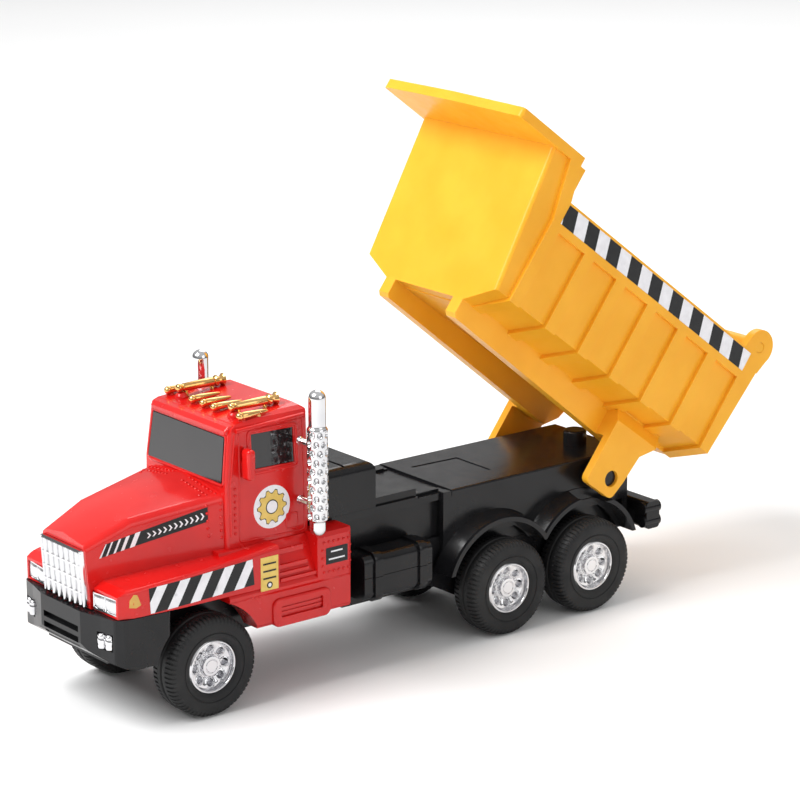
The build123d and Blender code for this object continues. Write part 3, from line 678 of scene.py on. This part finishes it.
def make_cab_beads():
    """Raised lines cast on the cab: door edge, window frames, gutter, pillar and handle."""
    shape = Shape()
    door = rounded([(-9.0, 29.6), (-9.3, 50.2), (-23.2, 50.6), (-23.4, 29.2)], 0.9)
    window = rounded([(-11.3, 41.8), (-11.2, 49.6), (-21.8, 49.4), (-22.0, 41.6)], 0.9)
    handle = rounded([(-19.3, 33.0), (-21.9, 32.8), (-21.9, 29.9), (-19.3, 30.1)], 0.6)
    post = [(-7.2, 31.0), (-7.2, 40.6), (-8.4, 49.6)]
    for outline, radius in ((door, 0.2), (window, 0.34), (handle, 0.16)):
        spots = drape_line(outline, cab_side)
        bead(shape, spots, radius, True)
        bead(shape, [flip(spot) for spot in spots], radius, True)
    spots = drape_line(post, cab_side, closed=False)
    bead(shape, spots, 0.26, False)
    bead(shape, [flip(spot) for spot in spots], 0.26, False)
    screen = rounded([(-11.9, 40.3), (11.9, 40.3), (11.5, 49.4), (-11.5, 49.4)], 0.9)
    bead(shape, drape_line(screen, cab_front), 0.3, True)
    gutter = [(-8.6, 50.1), (-12.0, 50.2), (-18.0, 50.4), (-23.6, 50.6)]
    spots = []
    for x, z in along_line(gutter, 0.7, False):
        point, normal = cab_side(x, z)
        spots.append((point, Vector((0, 0.8, 0.6)).normalized()))
    bead(shape, spots, 0.42, False, 1.0)
    bead(shape, [flip(spot) for spot in spots], 0.42, False, 1.0)
    return finish_piece("cab_beads", shape, "truck", [RED], sharp=70)


make_rivets()
make_cab_beads()


# ---------------------------------------------------------------- grille, lamps
def make_grille():
    """Plated radiator shell with seven rounded bars, fine rows and a toothed lower edge."""
    shape = Shape()

    def front_x(z):
        return 19.5 + (z - 21.9) * 0.7 / 10.5

    def bar(y0, y1, z0, z1, back, stand):
        rows = []
        for share in range(9):
            z = z0 + (z1 - z0) * share / 8
            width = y1 - y0
            ring = []
            for step, out in ((0.0, 0.0), (0.12, 0.55), (0.3, 0.9), (0.5, 1.0), (0.7, 0.9),
                              (0.88, 0.55), (1.0, 0.0)):
                ring.append(at(front_x(z) + stand * out, y0 + width * step, z))
            ring.append(at(front_x(z) - back, y1, z))
            ring.append(at(front_x(z) - back, y0, z))
            rows.append(ring)
        middle = at(front_x(z0) - back / 2, (y0 + y1) / 2, z0 - 0.35)
        top = at(front_x(z1) - back / 2, (y0 + y1) / 2, z1)
        rows.insert(0, [middle] * 9)
        rows.append([top] * 9)
        shape.sheet(rows)

    bar(-6.3, 6.3, 22.6, 31.9, 1.5, 0.05)
    for index in range(-3, 4):
        bar(index * 1.72 - 0.42, index * 1.72 + 0.42, 21.7 + 0.15 * abs(index), 31.9, 0.6, 0.55)
        bar(index * 1.72 + 0.52, index * 1.72 + 0.72, 22.3, 31.9, 0.6, 0.4)
        bar(index * 1.72 - 0.72, index * 1.72 - 0.52, 22.3, 31.9, 0.6, 0.4)
    for side in SIDES:
        bar(side * 6.25 - 0.28, side * 6.25 + 0.28, 22.0, 32.2, 1.6, 0.5)
    for row in range(3):
        z = 24.3 + 2.5 * row
        outline = [at(front_x(z - 0.16), -6.1, z - 0.16), at(front_x(z - 0.16), 6.1, z - 0.16),
                   at(front_x(z + 0.16), 6.1, z + 0.16), at(front_x(z + 0.16), -6.1, z + 0.16)]
        shape.slab([point + Vector((0.42 * MM, 0, 0)) for point in outline], Vector((-0.9 * MM, 0, 0)))
    crown = [at(front_x(32.3) + 0.35, -6.5, 31.8), at(front_x(32.3) + 0.35, 6.5, 31.8),
             at(front_x(32.3) + 0.15, 6.3, 32.35), at(front_x(32.3) + 0.15, -6.3, 32.35)]
    shape.slab(crown, Vector((-1.4 * MM, 0, 0)))
    return shape


def make_headlamps(shape):
    """Two rectangular lenses per side with fluted faces inside a thin bezel."""
    for side in SIDES:
        for y0, y1 in ((8.1, 10.9), (11.1, 13.9)):
            flutes = 9
            rows = []
            for level in range(7):
                z = 22.15 + 2.6 * level / 6
                bulge = 0.22 * math.sin(math.pi * level / 6)
                ring = []
                for step in range(flutes * 4 + 1):
                    share = step / (flutes * 4)
                    y = y0 + (y1 - y0) * share
                    wave = 0.09 * abs(math.sin(math.pi * flutes * share))
                    round_off = 0.22 * math.sin(math.pi * share)
                    x = 18.55 - 0.11 * (y - 8.0) + bulge + wave + round_off
                    ring.append(at(x, side * y, z))
                ring.append(at(16.9, side * y1, z))
                ring.append(at(16.9, side * y0, z))
                rows.append(ring)
            count = len(rows[0])
            rows.insert(0, [at(17.4, side * (y0 + y1) / 2, 22.1)] * count)
            rows.append([at(17.4, side * (y0 + y1) / 2, 24.8)] * count)
            shape.sheet(rows)
        for y0, y1, z0, z1 in ((7.8, 14.2, 21.85, 22.1), (7.8, 14.2, 24.7, 24.95),
                               (7.8, 8.1, 21.9, 24.9), (10.88, 11.12, 21.9, 24.9),
                               (13.9, 14.2, 21.9, 24.9)):
            corners = [(y0, z0), (y1, z0), (y1, z1), (y0, z1)]
            outline = [at(18.85 - 0.11 * (y - 8.0), side * y, z) for y, z in corners]
            shape.slab(outline, Vector((-1.8 * MM, 0, 0)))
    return shape


def make_fog_lamps():
    """Two upright barrel lenses per side on a small plated back plate."""
    shape = Shape()
    barrel = [(0.0, 0.0), (0.0, 0.45), (0.15, 0.72), (0.5, 0.82), (0.9, 0.74), (1.1, 0.84),
              (1.8, 0.86), (2.0, 0.74), (2.4, 0.82), (2.7, 0.7), (2.85, 0.45), (2.85, 0.0)]
    for side in SIDES:
        for y in (11.15, 12.85):
            shape.lathe(at(19.45 - 0.28 * (y - 11), side * y, 15.65), (0, 0, 1), barrel, 24)
        outline = [at(18.9, side * 10.2, 15.6), at(18.2, side * 13.8, 15.6),
                   at(18.2, side * 13.8, 18.5), at(18.9, side * 10.2, 18.5)]
        shape.slab(outline, Vector((-0.9 * MM, 0, 0)))
    piece = finish_piece("bumper_lamps", shape, "truck", [CHROME])
    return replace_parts(piece, "fog_lamps")


front_plating = finish_piece("radiator_and_lamps", make_headlamps(make_grille()), "truck",
                             [CHROME], sharp=45)
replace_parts(front_plating, "grille_and_headlamps")
make_fog_lamps()


# ---------------------------------------------------------------- printed markings
def clip(outline, a, b, c):
    """Part of an outline where a*x + b*y is at most c."""
    result = []
    for start, end in zip(outline, outline[1:] + outline[:1]):
        inside = a * start[0] + b * start[1] - c
        outside = a * end[0] + b * end[1] - c
        if inside <= 0:
            result.append(start)
        if (inside < 0 < outside) or (outside < 0 < inside):
            share = inside / (inside - outside)
            result.append((start[0] + (end[0] - start[0]) * share,
                           start[1] + (end[1] - start[1]) * share))
    return result


def slant(band, low, high, lean, level):
    """Part of a band between two slanted lines that pass through low and high at a level."""
    part = clip(band, -1.0, lean, lean * level - low)
    return clip(part, 1.0, -lean, high - lean * level) if part else []


def stripes(band, first, width, pitch, count, lean, level):
    """Evenly pitched slanted stripes inside a band; first is where the first one starts."""
    result = []
    for index in range(count):
        start = first + index * pitch
        part = slant(band, start, start + width, lean, level)
        if len(part) > 2:
            result.append(part)
    return result


def disc(x, z, radius, steps=40):
    """Round outline."""
    return [(x + radius * math.cos(TAU * step / steps), z + radius * math.sin(TAU * step / steps))
            for step in range(steps)]


def cells(outline, size):
    """Cut an outline along a square grid so that it can follow a bent surface."""
    xs = [point[0] for point in outline]
    zs = [point[1] for point in outline]
    result = []
    for col in range(math.floor(min(xs) / size), math.ceil(max(xs) / size)):
        strip = clip(clip(outline, -1, 0, -col * size), 1, 0, (col + 1) * size)
        if len(strip) < 3:
            continue
        for row in range(math.floor(min(zs) / size), math.ceil(max(zs) / size)):
            cell = clip(clip(strip, 0, -1, -row * size), 0, 1, (row + 1) * size)
            if len(cell) > 2:
                result.append(cell)
    return result


def decal(name, layers, surface, body, inks, both_sides=True, size=1.5):
    """Print outlines on a surface. Each layer is (outline, ink, lift in mm)."""
    shape = Shape()
    for outline, ink, lift in layers:
        for cell in cells(outline, size):
            spots = [surface(*point) for point in cell]
            if any(point is None for point, normal in spots):
                continue
            normal = sum((n for point, n in spots), Vector()).normalized()
            top = [point + normal * lift * MM for point, n in spots]
            shape.slab(top, normal * -(lift + 0.06) * MM, ink)
            if both_sides:
                mirrored = [Vector((p.x, -p.y, p.z)) for p in top]
                facing = Vector((normal.x, -normal.y, normal.z))
                shape.slab(mirrored, facing * -(lift + 0.06) * MM, ink)
    return finish_piece(name, shape, body, inks, sharp=30)


def make_fender_stripes():
    """Black band along the fender with slanted white stripes."""
    band = [(12.3, 21.7), (12.6, 26.3), (-9.0, 27.4), (-9.4, 22.6)]
    layers = [(band, 0, 0.05)]
    layers += [(part, 1, 0.07) for part in stripes(band, -13.9, 2.05, 4.55, 6, -0.56, 26.5)]
    return decal("fender_stripes", layers, cab_side, "truck", [INK_BLACK, INK_WHITE])


def make_hood_band():
    """Side band of the bonnet: five white stripes that widen rearwards, then plain chevrons."""
    front, rear = 17.2, -3.2

    def edge(x, low, high):
        return low + (high - low) * (front - x) / (front - rear)

    def lower(x):
        return edge(x, 30.6, 34.3)

    def upper(x):
        return edge(x, 32.7, 37.0)

    band = [(front, lower(front)), (15.9, upper(15.9)), (rear, upper(rear)), (rear, lower(rear))]
    layers = [(band, 0, 0.05)]
    for start, width in ((16.8, 0.4), (15.6, 0.3), (14.1, 0.4), (12.5, 0.6), (10.5, 0.9)):
        layers.append((slant(band, start, start + width, -0.45, lower(start)), 1, 0.07))
    for index in range(11):
        x = 8.2 - 1.0 * index
        low = lower(x) + 0.7
        high = upper(x) - 0.7
        mid = (low + high) / 2
        chevron = [(x, low), (x - 0.3, low), (x - 0.75, mid), (x - 0.3, high), (x, high), (x - 0.4, mid)]
        layers.append((chevron, 1, 0.07))
    return decal("hood_band", layers, cab_side, "truck", [INK_BLACK, INK_WHITE])


def make_door_badge():
    """White disc with a plain yellow cog."""
    x, z = -16.1, 34.9
    layers = [(disc(x, z, 4.0), 0, 0.04)]
    teeth = []
    dark = []
    count = 10
    for index in range(count * 4):
        turn = TAU * (index - 0.5) / (count * 4)
        reach = 3.1 if index % 4 < 2 else 2.45
        teeth.append((x + reach * math.cos(turn), z + reach * math.sin(turn)))
        dark.append((x + (reach + 0.18) * math.cos(turn), z + (reach + 0.18) * math.sin(turn)))
    layers.append((dark, 2, 0.06))
    layers.append((teeth, 1, 0.08))
    layers.append((disc(x, z, 1.35), 2, 0.10))
    layers.append((disc(x, z, 1.15), 0, 0.12))
    return decal("door_badge", layers, cab_side, "truck",
                 [INK_WHITE, INK_YELLOW, INK_BLACK])


def make_labels():
    """Yellow label with plain rules and a ring, dark locker plate and amber side reflector,
    the same on both sides."""
    layers = [([(-10.8, 20.9), (-14.6, 20.9), (-14.6, 27.2), (-10.8, 27.2)], 0, 0.05)]
    for row in range(3):
        z = 25.9 - 1.35 * row
        layers.append(([(-11.3, z - 0.16), (-14.1, z - 0.16), (-14.1, z + 0.16), (-11.3, z + 0.16)],
                       1, 0.08))
    layers.append((disc(-12.7, 21.9, 0.62), 1, 0.08))
    layers.append((disc(-12.7, 21.9, 0.36), 2, 0.10))
    layers.append(([(-25.3, 23.0), (-30.2, 23.0), (-30.2, 26.1), (-25.3, 26.1)], 1, 0.05))
    for z, half in ((25.3, 1.3), (23.9, 1.8)):
        layers.append(([(-27.7 + half, z - 0.14), (-27.7 - half, z - 0.14), (-27.7 - half, z + 0.14),
                        (-27.7 + half, z + 0.14)], 2, 0.08))
    marker = [(16.4, 23.5), (16.3, 24.8), (15.6, 25.8), (14.9, 25.6), (14.2, 23.7), (15.2, 23.3)]
    layers.append((marker, 3, 0.08))
    return decal("side_labels", layers, cab_side, "truck",
                 [INK_YELLOW, INK_BLACK, INK_WHITE, INK_AMBER])


def make_bed_stripes():
    """Black band along the bed's side with slanted white stripes."""
    front, rear, low, high = 47.0, -13.3, 32.2, 36.1
    pitch = (front - rear) / 8.75
    band = [(front, low), (front, high), (rear, high), (rear, low)]
    layers = [(band, 0, 0.03)]
    first = rear - 0.2 * pitch
    white = 0.48 * pitch
    lean, level = 0.37, 34.2
    for part in stripes(band, first, white, pitch, 10, lean, level):
        layers.append((part, 1, 0.05))
    return decal("bed_stripes", layers, bed_side, "tipping_bed",
                 [INK_BLACK, INK_WHITE], size=4.0)


make_fender_stripes()
make_hood_band()
make_door_badge()
make_labels()
make_bed_stripes()


# ---------------------------------------------------------------- stage, light and camera
def make_floor():
    """Wide flat pale floor."""
    shape = Shape()
    reach = 6.0
    shape.slab([Vector((-reach, -reach, 0)), Vector((reach, -reach, 0)), Vector((reach, reach, 0)),
                Vector((-reach, reach, 0))], Vector((0, 0, -0.02)))
    mesh = bpy.data.meshes.new("floor")
    mesh.from_pydata([tuple(point) for point in shape.points], [], shape.faces)
    mesh.materials.append(pale_floor())
    floor = bpy.data.objects.new("floor", mesh)
    bpy.context.scene.collection.objects.link(floor)


def make_light(name, place, target, size, power, colour=(1, 1, 1)):
    """Soft square light aimed at a point."""
    data = bpy.data.lights.new(name, "AREA")
    data.shape = "SQUARE"
    data.size = size
    data.energy = power
    data.color = colour
    light = bpy.data.objects.new(name, data)
    light.location = place
    light.rotation_mode = "QUATERNION"
    light.rotation_quaternion = (Vector(target) - Vector(place)).to_track_quat("-Z", "Y")
    bpy.context.scene.collection.objects.link(light)


def make_world():
    """Studio surround: dim near the horizon, white overhead."""
    world = bpy.data.worlds.new("studio")
    world.use_nodes = True
    nodes, links = world.node_tree.nodes, world.node_tree.links
    place = nodes.new("ShaderNodeTexCoord")
    split = nodes.new("ShaderNodeSeparateXYZ")
    ramp = nodes.new("ShaderNodeValToRGB")
    levels = ((0.0, 0.22), (0.14, 0.34), (0.38, 0.92), (1.0, 1.08))
    for position, grey in levels[1:-1]:
        ramp.color_ramp.elements.new(position)
    for element, (position, grey) in zip(ramp.color_ramp.elements, levels):
        element.position = position
        element.color = (grey, grey, grey, 1)
    links.new(place.outputs["Generated"], split.inputs["Vector"])
    links.new(split.outputs["Z"], ramp.inputs["Fac"])
    links.new(ramp.outputs["Color"], nodes["Background"].inputs["Color"])
    nodes["Background"].inputs["Strength"].default_value = 0.62
    bpy.context.scene.world = world


CAMERA_PLACE = Vector((0.3537, 0.44405, 0.20295))
CAMERA_TARGET = Vector((0.0012, 0.0, 0.04505))


def make_camera():
    """Long lens from the truck's front left, a little above it."""
    data = bpy.data.cameras.new("camera")
    data.sensor_width = 36.0
    data.lens = 140.5
    camera = bpy.data.objects.new("camera", data)
    camera.location = CAMERA_PLACE
    camera.rotation_mode = "QUATERNION"
    camera.rotation_quaternion = (CAMERA_TARGET - CAMERA_PLACE).to_track_quat("-Z", "Y")
    bpy.context.scene.collection.objects.link(camera)
    bpy.context.scene.camera = camera


make_floor()
make_light("key", (0.50, -0.10, 0.60), (0, 0, 0.03), 0.40, 6.0)
make_light("fill", (-0.10, 0.75, 0.35), (0, 0, 0.03), 0.5, 1.0)
make_light("back", (-0.5, -0.4, 0.65), (0, 0, 0.03), 0.6, 3.0)
make_world()
make_camera()
bpy.context.scene.view_settings.view_transform = "Standard"
